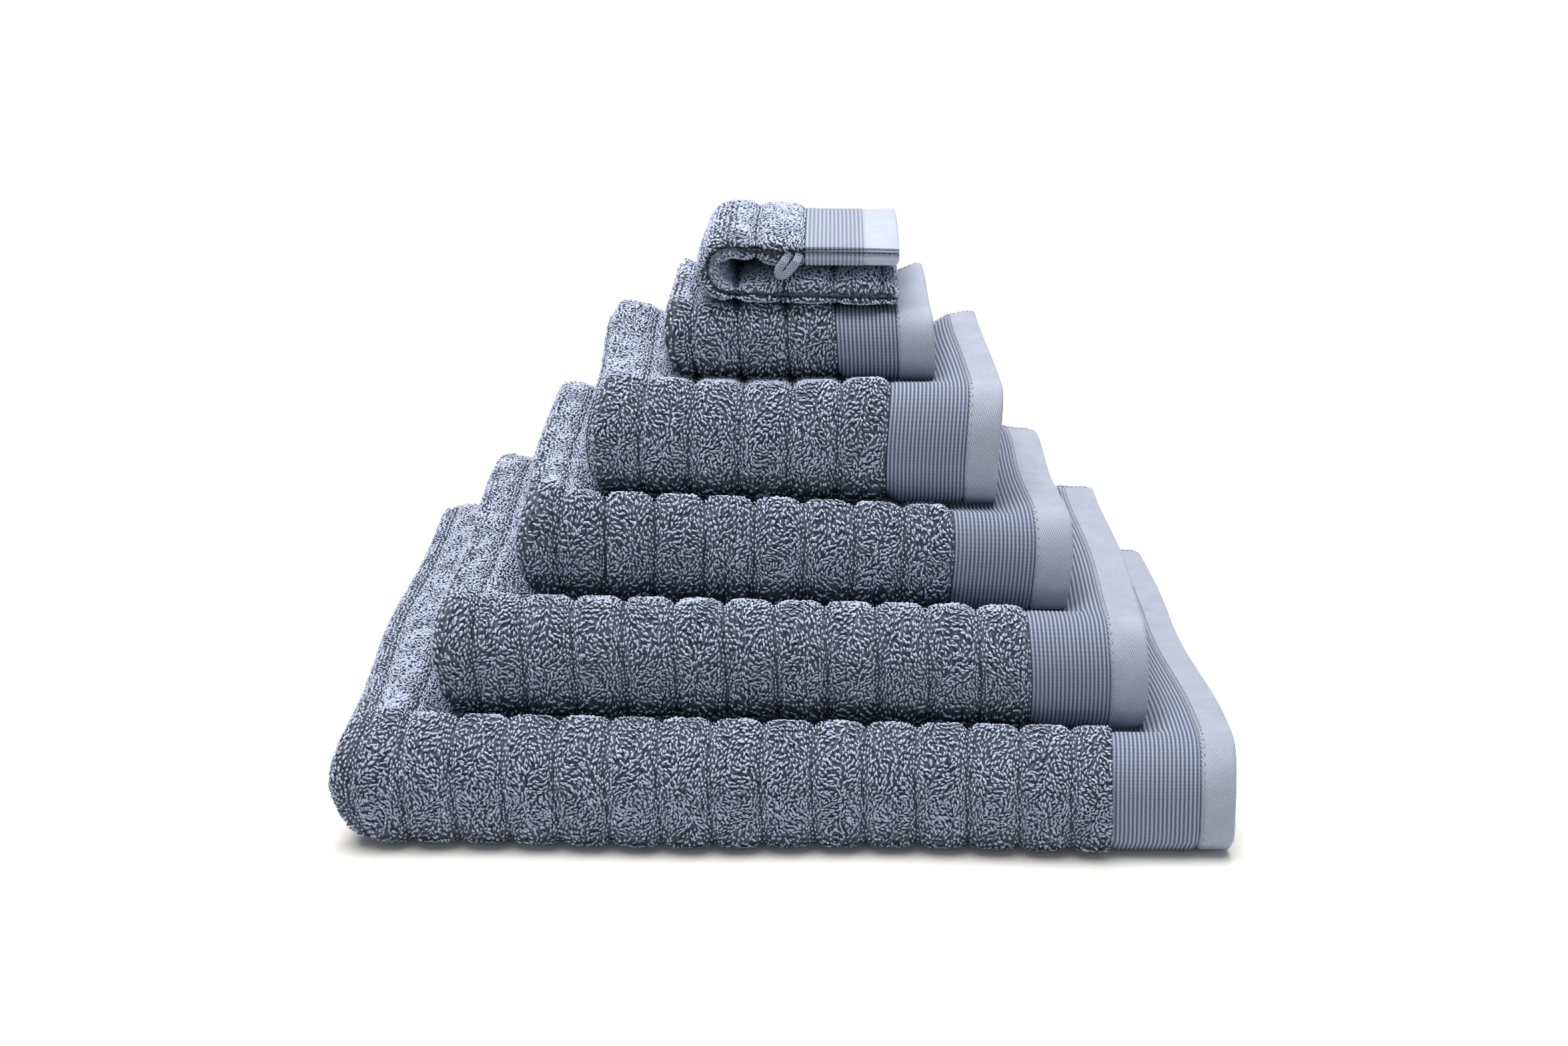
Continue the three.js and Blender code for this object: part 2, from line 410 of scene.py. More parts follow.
CORNER_DROP = 3 * MM                   # the hemmed end's back corner
SQUEEZE_EDGE = (-6 * MM, 16 * MM)      # from free cloth to squeezed, in past the next towel's edge
SINK_DEPTH = 40 * MM                   # the sinking fades over this, from the front backwards
FLOOR_SAG = 1.4 * MM                   # of the thin border and hem, on the floor
STACKED_SAG = 5.0 * MM                 # and on another towel
SAG_RUN = 9 * MM                       # how soon after the terry's end it is all there


class Towel:
    """A towel's box and zones in the frame, and how its top settles."""

    def __init__(self, name, plies, first_rib, settle):
        self.name = name
        self.plies = plies
        self.settle = settle
        boxes = [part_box(f"{name}_{zone}") for zone in ZONES]
        self.low = np.min([b[0] for b in boxes], axis=0)
        self.high = np.max([b[1] for b in boxes], axis=0)
        self.hem = self.high[0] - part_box(f"{name}_end_hem")[0][0]
        self.band = self.high[0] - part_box(f"{name}_border")[0][0]
        self.side = self.high[1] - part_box(f"{name}_side_hem")[0][1]
        self.height = self.high[2] - self.low[2]
        self.ply = self.height / (3 * plies)
        self.panel = self.height / 3
        self.groove = self.band + first_rib - PITCH
        self.below = None
        self.above = None

    def top(self, x, y):
        """Height of the top at a place, over the frame's flat top. u runs from -1 at the folded
        end to 1 at the hemmed end, and v from -1 in front to 1 at the back."""
        s = self.settle
        middle = (self.low + self.high) / 2
        half = (self.high - self.low) / 2
        u = (x - middle[0]) / half[0]
        v = (y - middle[1]) / half[1]
        rise = -s["tilt"] * u + s.get("dip", 0) * np.exp(-((u - s.get("dip_at", 0)) / 0.35) ** 2)
        rise = rise + s["left"] * smooth(-u, 0.55, 1.0) * smooth(v, -1.0, 0.6)
        rise = rise + s["back"] * smooth(v, 0.1, 0.9) * smooth(-u, -0.9, 0.0)
        rise = rise - s["droop"] * smooth(u, 0.55, 0.95) * smooth(v, -0.75, 0.5)
        corner = smooth(u, 0.5, 1.0) * smooth(y - self.high[1], -20 * MM, 0) ** 2
        rise = rise - CORNER_DROP * corner
        if self.above is not None:
            free = smooth(-depth_inside(self.above, x, y), *SQUEEZE_EDGE)
            behind = np.maximum(y - self.above.low[1], 0)
            deep = 0.3 + 0.7 * np.exp(-behind / SINK_DEPTH)
            rise = rise * (0.35 + 0.65 * free) + s["puff"] * free
            rise = rise - s["sink"] * deep * (1 - free)
        return rise

    def drawn_in(self, x, y, z):
        """How far a point moves along x: the folded end is rounder at its corners than a plain
        fold, and the hemmed end narrows a little to the back."""
        s = self.settle
        share = np.clip((z - self.low[2]) / self.height, 0, 1)
        corner = np.abs(2 * share - 1) ** 1.5 * smooth(self.low[0] - x, -50 * MM, 0)
        front = 1 - 0.8 * smooth(y - self.low[1], 0, 150 * MM)
        hemmed = smooth(x - self.high[0], -60 * MM, 0)
        narrow = s["narrow"] * smooth(y - self.low[1], 0, 120 * MM)
        narrow = narrow + 4 * MM * smooth(y - self.high[1], -22 * MM, 0) ** 2
        return s["round"] * corner * front - narrow * hemmed

    def under(self, x, y):
        return 0.0 if self.below is None else self.below.top(x, y)

    def settled(self, x, y, z):
        share = np.clip((z - self.low[2]) / self.height, 0, 1)
        lift = self.under(x, y) * (1 - share) + self.top(x, y) * share
        start = self.high[0] - self.band
        sag = FLOOR_SAG if self.below is None else STACKED_SAG
        sag = sag * smooth(x, start, start + SAG_RUN)
        return z + lift - sag * (1 - share) ** 2


class Footprint:
    """Where something lies on a towel."""

    def __init__(self, *nodes):
        boxes = [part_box(name) for name in nodes]
        self.low = np.min([b[0] for b in boxes], axis=0)
        self.high = np.max([b[1] for b in boxes], axis=0)


# Heights in millimetres: how much the top tilts down to the right, rises at the folded end and
# at the back, droops at the hemmed end, puffs up where nothing lies on it, and sinks in under
# the front of the next towel; then how much the folded end's corners and the hemmed end's back
# are drawn in.
SETTLES = [
    dict(tilt=2.5, left=7, back=6, droop=12, puff=1.0, sink=13.0, round=11, narrow=2),
    dict(tilt=3.0, left=7, back=6, droop=-2, puff=1.0, sink=13.0, round=6, narrow=0),
    dict(tilt=6.5, left=6, back=5, droop=6, puff=1.0, sink=10.0, round=11, narrow=2),
    dict(tilt=-1.0, left=7, back=9, droop=-12, puff=3.0, sink=2.5, round=4, narrow=5, dip=-5,
         dip_at=-0.15),
    dict(tilt=1.0, left=3, back=4, droop=-10, puff=1.0, sink=-2.0, round=4, narrow=5),
]
PLIES = [3, 3, 3, 3, 2]
FIRST_RIBS = [22.4 * MM, PITCH, PITCH, PITCH, PITCH]        # the rib next to the border
towels = []
for name, plies, first_rib, settle in zip(TOWEL_NAMES, PLIES, FIRST_RIBS, SETTLES):
    metres = {k: v if k == "dip_at" else v * MM for k, v in settle.items()}
    towels.append(Towel(name, plies, first_rib, metres))
for lower, upper in zip(towels, towels[1:]):
    lower.above = upper
    upper.below = lower
towels[-1].above = Footprint("mitt_lower_back", "mitt_lower_fold")
for towel in towels:
    print(towel.name, "folded to", [round(v / MM) for v in towel.high - towel.low], "mm,",
          f"{towel.ply / MM:.1f} mm a ply")

# %% [markdown]
# ## The two folds
# The first path is an S for three plies and a U for two. Seen from the front it starts at the
# hemmed end on top. The second path is seen from the end: over the top panel to the front, down
# the roll, back underneath, round, and forward between the two. Small sine ripples then keep
# the long faces from being dead flat.

# %% The folded cloth of one towel
INNER_SHORT = 5 * MM                   # the inner plies end this much short of the hemmed end
LOWER_SHORT = 4 * MM                   # and a lower one of two, this much
ROLL_SHARE = 0.42                      # how far the front roll reaches, to the towel's height
RIPPLES = (1.2 * MM, 1.0 * MM, 1.3 * MM)


class Fold:
    """Puts a point of the flat cloth where the folded cloth has it. Distances run from the
    hemmed end along the towel (s), and from the free long edge on top across it (t)."""

    def __init__(self, towel):
        self.towel = towel
        ply, panel = towel.ply, towel.panel
        x0, y0, z0 = towel.low
        x1, y1 = towel.high[:2]
        outer = ply * (towel.plies - 1) / 2
        left = x0 + outer + ply / 2
        if towel.plies == 3:
            right = x1 - INNER_SHORT - ply
            first = (straight((x1, ply), (left, ply))
                     + turn((left, 0), ply, ply, math.pi / 2, 1.5 * math.pi)
                     + straight((left, -ply), (right, -ply))
                     + turn((right, -ply / 2), ply / 2, ply / 2, -math.pi / 2, math.pi / 2)
                     + straight((right, 0), (left + ply, 0)))
        else:
            first = (straight((x1, ply / 2), (left, ply / 2))
                     + turn((left, 0), ply / 2, ply / 2, math.pi / 2, 1.5 * math.pi)
                     + straight((left, -ply / 2), (x1 - LOWER_SHORT, -ply / 2)))
        self.first = Path(first)
        self.outer_end = (x1 - left) + math.pi * outer
        roll = ROLL_SHARE * towel.height - panel / 2
        middle = y0 + roll + panel / 2
        back = y1 - panel
        second = (straight((y1 - 1 * MM, z0 + 2.5 * panel), (middle, z0 + 2.5 * panel))
                  + self.roll_at(middle, z0 + 1.5 * panel, roll, panel)
                  + straight((middle, z0 + panel / 2), (back, z0 + panel / 2))
                  + turn((back, z0 + panel), panel / 2, panel / 2, -math.pi / 2, math.pi / 2)
                  + straight((back, z0 + 1.5 * panel), (middle + 4 * MM, z0 + 1.5 * panel)))
        self.second = Path(second)
        self.top_end = y1 - middle
        self.roll_length = Path(self.roll_at(0, 0, roll, panel)).length
        self.bottom_end = self.top_end + self.roll_length + back - middle
        self.back_length = math.pi * panel / 2
        self.length = self.first.length
        self.width = self.second.length

    @staticmethod
    def roll_at(y, z, reach, rise):
        """The front roll: round above, fuller where it comes down on what is under it."""
        return (turn((y, z), reach, rise, math.pi / 2, math.pi, 2.2)
                + turn((y, z), reach, rise, math.pi, 1.5 * math.pi, 7.0)[1:])

    def put(self, s, t, out):
        x, n, nx, nn = self.first.at(s)
        x = x + out * nx
        n = n + out * nn
        y, z, ny, nz = self.second.at(t)
        y = y + n * ny
        z = z + n * nz
        wave = RIPPLES[0] * np.sin(x / (37 * MM) + 2.1 * self.towel.low[2] / MM)
        wave = wave + RIPPLES[1] * np.sin(x / (83 * MM) + z / (31 * MM))
        y = y + wave
        x = x + RIPPLES[2] * np.sin(y / (29 * MM) + z / (17 * MM) + 1.0)
        x = x + self.towel.drawn_in(x, y, z)
        z = self.towel.settled(x, y, z)
        return np.stack([x, y, z], axis=-1)

# %% [markdown]
# ## Closed cloth from a grid
# Cloth could be one face thick with a Solidify modifier, but a fold that tight would make the
# two sides cross. Here both sides are put through the fold, each at its own height over the
# middle of the ply, and a rim joins them. The result is one closed skin with its flat place in
# its UV map and its shade in an attribute.

# %% A mesh from arrays
def unit(vectors):
    return vectors / np.linalg.norm(vectors, axis=-1)[..., None]


def new_mesh(name, points, faces, material, uv=None, shade=None):
    """faces is an array of corners, three or four to a row. uv and shade are per point."""
    mesh = bpy.data.meshes.new(name)
    size = faces.shape[1]
    mesh.vertices.add(len(points))
    mesh.vertices.foreach_set("co", points.astype(np.float32).ravel())
    mesh.loops.add(faces.size)
    mesh.loops.foreach_set("vertex_index", faces.astype(np.int32).ravel())
    mesh.polygons.add(len(faces))
    mesh.polygons.foreach_set("loop_start", np.arange(0, faces.size, size, dtype=np.int32))
    mesh.polygons.foreach_set("use_smooth", np.ones(len(faces), bool))
    mesh.update(calc_edges=True)
    if uv is not None:
        layer = mesh.uv_layers.new(name="cloth")
        layer.data.foreach_set("uv", uv[faces.ravel()].astype(np.float32).ravel())
    if shade is not None:
        attribute = mesh.attributes.new("shade", "FLOAT", "POINT")
        attribute.data.foreach_set("value", shade.astype(np.float32))
    mesh.materials.append(material)
    mesh.validate()
    piece = bpy.data.objects.new(name, mesh)
    bpy.context.scene.collection.objects.link(piece)
    return piece


def signed_volume(points, faces):
    a, b, c = (points[faces[:, k]] for k in (0, 1, 2))
    total = np.einsum("ij,ij->i", a, np.cross(b, c)).sum()
    if faces.shape[1] == 4:
        a, b, c = (points[faces[:, k]] for k in (0, 2, 3))
        total += np.einsum("ij,ij->i", a, np.cross(b, c)).sum()
    return total / 6


def shell(name, outside, inside, S, T, material, tone):
    """A closed cloth between an outer and an inner grid of points."""
    points = np.concatenate([outside.reshape(-1, 3), inside.reshape(-1, 3)])
    rows, columns = S.shape
    at = np.arange(rows * columns).reshape(rows, columns)
    quads = np.stack([at[:-1, :-1], at[1:, :-1], at[1:, 1:], at[:-1, 1:]], -1).reshape(-1, 4)
    ring = np.concatenate([at[:-1, 0], at[-1, :-1], at[:0:-1, -1], at[0, :0:-1]])
    after = np.roll(ring, -1)
    count = rows * columns
    rim = np.stack([ring, ring + count, after + count, after], -1)
    faces = np.concatenate([quads, quads[:, ::-1] + count, rim])
    if signed_volume(points, faces) < 0:
        faces = faces[:, ::-1]
    uv = np.stack([S, T], -1).reshape(-1, 2)
    both = np.concatenate([tone.ravel(), tone.ravel()])
    return new_mesh(name, points, faces, material, np.concatenate([uv, uv]), both)


def thick_cloth(name, put, s, t, thickness, relief, material, shade=None):
    """A closed cloth over the grid s by t: an outside, an inside, and rounded edges.
    relief(S, T) is added on the outside only."""
    S, T = np.meshgrid(s, t, indexing="ij")
    edge = np.minimum.reduce([S - s[0], s[-1] - S, T - t[0], t[-1] - T])
    near = np.clip(edge / (thickness / 2), 0, 1)
    swell = np.sqrt(1 - (1 - near) ** 2) * 0.85 + 0.15
    outside = put(S, T, swell * thickness / 2 + relief(S, T) * near)
    inside = put(S, T, -swell * thickness / 2)
    tone = np.zeros(S.shape) if shade is None else shade(S, T)
    return shell(name, outside, inside, S, T, material, tone)


def spread(start, end, step):
    return np.linspace(start, end, max(2, int(round((end - start) / step)) + 1))


def joined(*parts):
    values = np.concatenate(parts)
    keep = np.concatenate([[True], np.diff(values) > 0.2 * MM])
    return values[keep]

# %% [markdown]
# ## Ribs and cords
# The ribs are round ridges with a narrow flat between them, and the cords are a fine even wave.
# The grid has its rows where the shape needs them: close together in a groove and where the
# cloth turns, far apart where it lies flat.

# %% Ribs, cords and the grid they need
GROOVE = 0.6 * MM                      # half the width of the flat between two ribs
RIB_LOW, RIB_HIGH = -2.7 * MM, 0.5 * MM


def rib_swell(s, start):
    """0 in a groove, 1 on the crest of a rib. One groove is at start."""
    phase = np.mod((s - start) / PITCH, 1.0)
    gap = np.minimum(phase, 1 - phase) * PITCH
    inner = np.clip((gap - GROOVE) / (PITCH / 2 - GROOVE), 0, 1)
    return 1 - (1 - inner) ** 4.2


def rib_relief(s, start):
    return RIB_LOW + (RIB_HIGH - RIB_LOW) * rib_swell(s, start)


def edge_rows(start, step=1.0 * MM, count=4):
    return start + step * np.arange(count)


def across_rows(fold, start):
    """Rows over the width: closer where the cloth turns."""
    roll_end = fold.top_end + fold.roll_length
    back_end = fold.bottom_end + fold.back_length
    return joined(
        edge_rows(start), spread(start + 6 * MM, fold.top_end, 9 * MM),
        spread(fold.top_end, roll_end, 4 * MM), spread(roll_end, fold.bottom_end, 12 * MM),
        spread(fold.bottom_end, back_end, 3 * MM), spread(back_end, fold.width, 16 * MM))


RIB_SHARES = np.array([0.0, 0.022, 0.07, 0.14, 0.26, 0.5, 0.74, 0.86, 0.93, 0.978])


def rib_rows(start, end):
    """Rows along the towel that follow the shape of each rib."""
    count = int((end - start) / PITCH) + 1
    rows = (start + PITCH * np.arange(count)[:, None] + RIB_SHARES * PITCH).ravel()
    return rows[rows < end]


CORD_PITCH = 2.35 * MM
CORD_DEPTH = 0.55 * MM


def cord_rows(start, end):
    cords = max(1, int(round((end - start) / CORD_PITCH)))
    return np.linspace(start, end, cords * 4 + 1)


def cord_wave(s, start, pitch):
    """0 between two cords, 1 on a cord."""
    return 0.5 - 0.5 * np.cos((s - start) * 2 * math.pi / pitch)


print("rows to a rib:", len(rib_rows(0, PITCH)), "and to a cord:", len(cord_rows(0, CORD_PITCH)) - 1)

# %% [markdown]
# ## The cloth of the five towels
# Each towel's cloth is woven in zones: ribbed terry, then a flat border of fine raised cords,
# then a plain turned hem. The long edges have a narrow hem of their own, and one of those lies
# free at the back of the top panel. The zones are separate pieces that meet edge to edge.

# %% Where a towel is hidden
TERRY_SHARE = 0.94                     # how thick each zone is, to the room a ply has
BORDER_SHARE = 0.72
HEM_SHARE = 0.8
SIDE_SHARE = 0.66
FLAT_SUNK = 1.0 * MM                   # the flat zones lie this much deeper than the terry


def hidden(towel, points, normals):
    """Places that lie under a towel, between panels or on the floor."""
    x, y, z = np.moveaxis(points, -1, 0)
    up = normals[..., 2]
    found = (up < -0.6) & (depth_inside(towel, x, y) > 13 * MM)
    if towel.above is not None:
        upper_half = z > towel.low[2] + towel.height / 2
        covered = depth_inside(towel.above, x, y) > 9 * MM
        found |= (up > 0.3) & covered & upper_half
    return found


def bare(fold, S, T):
    """1 where the cloth gets no loops, 0 where it does."""
    towel = fold.towel
    out = np.full(S.shape, towel.ply * TERRY_SHARE / 2)
    root = fold.put(S, T, out)
    normal = (fold.put(S, T, out + 0.5 * MM) - root) / (0.5 * MM)
    inner = (S > fold.outer_end) | (T > fold.bottom_end + fold.back_length * 0.9)
    return (inner | hidden(towel, root, normal)).astype(float)

# %% Make a towel's cloth
def make_cloth(towel):
    """The four zones of one towel. Rows are close by an edge, where the cloth is rounded off,
    and wider between."""
    fold = Fold(towel)
    ply = towel.ply
    hem_end, band_end, side = towel.hem, towel.band, towel.side
    rows_t = across_rows(fold, side)
    fine_end = fold.outer_end + 12 * MM
    ribs = rib_rows(towel.groove, fine_end)
    terry_s = joined([band_end], ribs[ribs > band_end],
                     spread(fine_end, fold.length - 12 * MM, 7 * MM),
                     edge_rows(fold.length - 3 * MM))
    terry = thick_cloth(
        f"{towel.name}_ribbed_terry", fold.put, terry_s, rows_t, ply * TERRY_SHARE,
        lambda S, T: rib_relief(S, towel.groove), GROUND, lambda S, T: bare(fold, S, T))
    cords = cord_rows(hem_end, band_end)

    def lowered(S, T, out):
        return fold.put(S, T, out - FLAT_SUNK)

    # The cords' relief; as the shade attribute it also paints the gaps between cords dark, as
    # painted shade.
    def corded(S, T):
        return cord_wave(S, hem_end, cords[4] - cords[0])

    border = thick_cloth(
        f"{towel.name}_corded_border", lowered, cords, rows_t, ply * BORDER_SHARE,
        lambda S, T: CORD_DEPTH * corded(S, T), BORDER, corded)
    hem_s = joined(edge_rows(0.0, 0.8 * MM, 5), spread(4 * MM, hem_end - 3 * MM, 3 * MM),
                   edge_rows(hem_end - 2 * MM, 0.66 * MM))
    hem = thick_cloth(
        f"{towel.name}_turned_hem", lowered, hem_s, rows_t, ply * HEM_SHARE,
        lambda S, T: 0 * S, HEM)
    side_t = joined(edge_rows(0.0, 0.9 * MM, 4), spread(4 * MM, side - 2 * MM, 2 * MM),
                    edge_rows(side - 1.6 * MM, 0.8 * MM, 3))
    side_s = joined(edge_rows(0.0, 1 * MM, 4), spread(4 * MM, fold.length - 4 * MM, 5 * MM),
                    edge_rows(fold.length - 3 * MM))
    side_hem = thick_cloth(
        f"{towel.name}_long_edge_hem", lowered, side_s, side_t, ply * SIDE_SHARE,
        lambda S, T: 0.3 * rib_relief(S, towel.groove), HEM)
    pieces = {"terry": terry, "border": border, "end_hem": hem, "side_hem": side_hem}
    for zone, piece in pieces.items():
        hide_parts(f"{towel.name}_{zone}")
        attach(piece, towel.name)
    faces = sum(len(p.data.polygons) * 2 for p in pieces.values())
    print(f"{towel.name}: cloth {fold.length:.3f} by {fold.width:.3f} m, {faces} triangles")
    return fold


FOLDS = {towel.name: make_cloth(towel) for towel in towels}

# %% [markdown]
# ## One loop of terry
# Terry gets its look from small loops of yarn that stand on the ground cloth. Each is a short,
# soft arch. One loop is shaped from a coarse ball with few faces, because it is copied
# tens of thousands of times.

# %% Shape one loop
def make_loop_shape():
    bpy.ops.object.select_all(action="DESELECT")
    bpy.ops.mesh.primitive_uv_sphere_add(segments=3, ring_count=3, radius=0.5)
    ball = bpy.context.object
    bpy.ops.object.mode_set(mode="EDIT")
    bpy.ops.mesh.select_all(action="SELECT")
    bpy.ops.transform.rotate(value=math.pi / 2, orient_axis="Y", center_override=(0, 0, 0))
    bpy.ops.object.mode_set(mode="OBJECT")
    points = np.array([v.co for v in ball.data.vertices])
    ball.data.calc_loop_triangles()
    faces = np.array([t.vertices for t in ball.data.loop_triangles])
    bpy.data.objects.remove(ball)
    return points, faces


LOOP_POINTS, LOOP_FACES = make_loop_shape()
print("one loop:", len(LOOP_POINTS), "points,", len(LOOP_FACES), "triangles")

# %% [markdown]
# ## A meadow of loops
# Particles could scatter the loops, but they wouldn't export as a mesh. Here the places are
# rows and columns on the flat cloth, shaken a little, and each loop is turned to the cloth
# there. Beside a groove the loops stand in neat columns, and between grooves they swirl.

# %% Where loops stand
LOOP_LENGTH = 3.0 * MM
LOOP_THICK = 1.5 * MM
LOOP_HEIGHT = 1.2 * MM
ROW_STEP = 1.82 * MM
COLUMN_STEP = 1.68 * MM
MAX_LOOPS = 14000                      # to a piece, which keeps it under 200,000 triangles
NEAT = [1.3 * MM, 2.9 * MM, 4.5 * MM]  # neat columns on each side of a groove


def swirl(s, t, seed):
    """A slow change of direction over the cloth, in turns."""
    a = np.sin(s / (7.3 * MM) + seed) * np.cos(t / (6.1 * MM) + 1.7 * seed)
    b = np.sin(s / (3.9 * MM) - t / (4.7 * MM) + 2.3 * seed)
    return a + 0.6 * b


def loop_places(start, end, t0, t1, rng):
    """Rows and columns of loops on the flat cloth, neat beside the grooves, free between."""
    columns = []
    for k in range(int((end - start) / PITCH) + 1):
        groove = start + k * PITCH
        for c, gap in enumerate(NEAT):
            columns += [(groove + gap, 0.3 * c), (groove + PITCH - gap, 0.3 * c)]
        first = NEAT[-1] + COLUMN_STEP
        count = int((PITCH - 2 * first) / COLUMN_STEP)
        for c in np.linspace(groove + first, groove + PITCH - first, count + 1):
            columns.append((c, 1.0))
    columns = np.array([c for c in columns if start + 0.6 * MM < c[0] < end])
    rows = np.arange(t0, t1, ROW_STEP)
    S, T = np.meshgrid(columns[:, 0], rows, indexing="ij")
    free = np.repeat(columns[:, 1][:, None], len(rows), axis=1)
    T = T + rng.uniform(-0.5, 0.5, T.shape[0])[:, None] * ROW_STEP
    S = S + rng.normal(0, 0.32 * MM, S.shape) * (0.15 + 0.85 * free)
    T = T + rng.normal(0, 0.42 * MM, T.shape) * (0.4 + 0.6 * free)
    return S.ravel(), T.ravel(), free.ravel()

# %% Stand loops on a cloth
def copied_faces(count):
    """The loop's faces, once for each of so many copies of its points."""
    return (np.arange(count)[:, None, None] * len(LOOP_POINTS) + LOOP_FACES[None]).reshape(-1, 3)


def make_pile(name, put, lift, s, t, free, rng, seed, top_painted_light):
    """One mesh of loops at places (s, t) of a cloth. lift(s) is the ground's own relief, and
    top_painted_light is how much paler a loop that faces up is painted, as painted light from above."""
    step = 0.6 * MM
    out = lift(s)
    root = put(s, t, out)
    side = unit(put(s + step, t, out) - root)
    down = unit(put(s, t + step, out) - root)
    normal = unit(put(s, t, out + step) - root)
    count = len(s)
    angle = math.pi / 2 + free * (1.25 * swirl(s, t, seed) + rng.normal(0, 0.4, count))
    forward = np.cos(angle)[:, None] * side + np.sin(angle)[:, None] * down
    across = np.cross(normal, forward)
    length = LOOP_LENGTH * rng.uniform(0.8, 1.25, count) * (0.75 + 0.25 * free)
    thick = LOOP_THICK * rng.uniform(0.85, 1.15, count)
    height = LOOP_HEIGHT * rng.uniform(0.6, 1.4, count) * (0.55 + 0.45 * free)
    lean = rng.uniform(-0.5, 0.5, count)
    bow = rng.choice([-1, 1], count) * rng.uniform(0.3, 1.0, count) * 0.9 * MM
    px, py, pz = (LOOP_POINTS[:, k] for k in (0, 1, 2))
    arch = 1 - 3.6 * px ** 2
    lengthwise = px[None] * length[:, None]
    outward = pz[None] * thick[:, None] + arch[None] * height[:, None] * 0.75
    sideways = py[None] * thick[:, None] + lean[:, None] * outward + bow[:, None] * arch[None]
    points = (root[:, None] + lengthwise[..., None] * forward[:, None]
              + sideways[..., None] * across[:, None] + outward[..., None] * normal[:, None])
    # Painted light and shade: the shade attribute is high on a loop's crest and outer side and low
    # at its feet, higher on loops that face up, and differs at random from loop to loop.
    tone = rng.uniform(-0.25, 0.25, count) + top_painted_light * np.clip(normal[:, 2], 0, 1)
    shade = np.clip(0.06 + 0.60 * arch[None] + 0.60 * pz[None] + tone[:, None], 0, 1)
    return new_mesh(name, points.reshape(-1, 3), copied_faces(count), PILE, shade=shade.ravel())


# Painted light: how much paler a loop that faces up is painted, more on the mitt.
TOP_PAINTED_LIGHT = 0.20
MITT_TOP_PAINTED_LIGHT = 0.34


def piled(name, put, lift, places, rng, seed, finish_piece, top_painted_light=TOP_PAINTED_LIGHT):
    """The loops at places, in pieces of no more than MAX_LOOPS. Gives back how many."""
    s, t, free = places
    order = np.argsort(s, kind="stable")
    for k, part in enumerate(np.array_split(order, math.ceil(len(s) / MAX_LOOPS))):
        pile = make_pile(f"{name}_{k + 1}", put, lift, s[part], t[part], free[part], rng, seed,
                         top_painted_light)
        finish_piece(pile)
    return len(s)

# %% The loops that can be seen
def pile_towel(towel, seed):
    fold = FOLDS[towel.name]
    rng = np.random.default_rng(seed)

    def lift(s):
        return towel.ply * TERRY_SHARE / 2 + rib_relief(s, towel.groove)

    s, t, free = loop_places(towel.groove, fold.outer_end, towel.side + 0.8 * MM,
                             fold.bottom_end + fold.back_length * 0.9, rng)
    keep = s > towel.band + 0.6 * MM
    s, t, free = s[keep], t[keep], free[keep]
    step = 0.5 * MM
    root = fold.put(s, t, lift(s))
    normal = (fold.put(s, t, lift(s) + step) - root) / step
    keep = ~hidden(towel, root, normal)
    places = s[keep], t[keep], free[keep]
    count = piled(f"{towel.name}_loops", fold.put, lift, places, rng, float(seed),
                  lambda pile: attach(pile, towel.name))
    print(towel.name, "has", count, "loops")
    return count


total = sum(pile_towel(towel, seed + 11) for seed, towel in enumerate(towels))
print("loops in all:", total, "triangles:", total * len(LOOP_FACES))

# %% [markdown]
# ## Sewing thread
# The turned hems are held by a row of small, plain stitches. A stitch is the same coarse ball
# as a loop of terry, drawn out thin and laid almost flat.

# %% Sew along a line
STITCH_STEP = 3.2 * MM
STITCH_LONG = 2.4 * MM
STITCH_THICK = 0.75 * MM
STITCH_INSET = 1.6 * MM                # from the hem's edge


def sew(name, points, ahead, normal, length, thick):
    """One stitch at every point, lying along ahead and standing a little out along normal."""
    ahead, normal = unit(ahead), unit(normal)
    across = np.cross(normal, ahead)
    px, py, pz = (LOOP_POINTS[:, k][None, :, None] for k in (0, 1, 2))
    made = (points[:, None] + px * length * ahead[:, None] + py * thick * across[:, None]
            + (pz + 0.5 - 1.6 * px ** 2) * thick * normal[:, None])
    piece = new_mesh(name, made.reshape(-1, 3), copied_faces(len(points)), THREAD)
    return piece


def sew_cloth(name, put, s, t, out):
    """Stitches at the places (s, t) of a cloth, each pointing to the next."""
    root = put(s, t, np.full(len(s), out))
    normal = put(s, t, np.full(len(s), out + 0.5 * MM)) - root
    return sew(name, root, np.gradient(root, axis=0), normal, STITCH_LONG, STITCH_THICK)

# %% Sew the towels' hems
def sew_hems(towel):
    fold = FOLDS[towel.name]
    t = np.arange(3 * MM, fold.width - 3 * MM, STITCH_STEP)
    seam = sew_cloth(f"{towel.name}_hem_stitches", fold.put,
                     np.full(len(t), towel.hem - STITCH_INSET), t,
                     towel.ply * HEM_SHARE / 2 - FLAT_SUNK)
    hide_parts(f"{towel.name}_hem_stitching")
    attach(seam, towel.name)
    s = np.arange(4 * MM, fold.outer_end, STITCH_STEP)
    edge = sew_cloth(f"{towel.name}_long_edge_stitches", fold.put, s,
                     np.full(len(s), towel.side - STITCH_INSET),
                     towel.ply * SIDE_SHARE / 2 - FLAT_SUNK)
    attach(edge, towel.name)
    print(towel.name, "has", len(t), "stitches in its hem and", len(s), "in its long edge")


for towel in towels:
    sew_hems(towel)

# %% [markdown]
# ## The wash mitt
# The mitt is a flat bag of two terry panels, closed on three sides and folded in half. Four
# lines, seen from the front, give it its shape: the outer face, the side seam, the pocket, and
# the inner face, which closes round a small hollow at the fold. Across the mitt each face is a
# flattened arch from one side seam to the other. The seams are pulled in a little, so a channel
# runs round the fold between the panels.

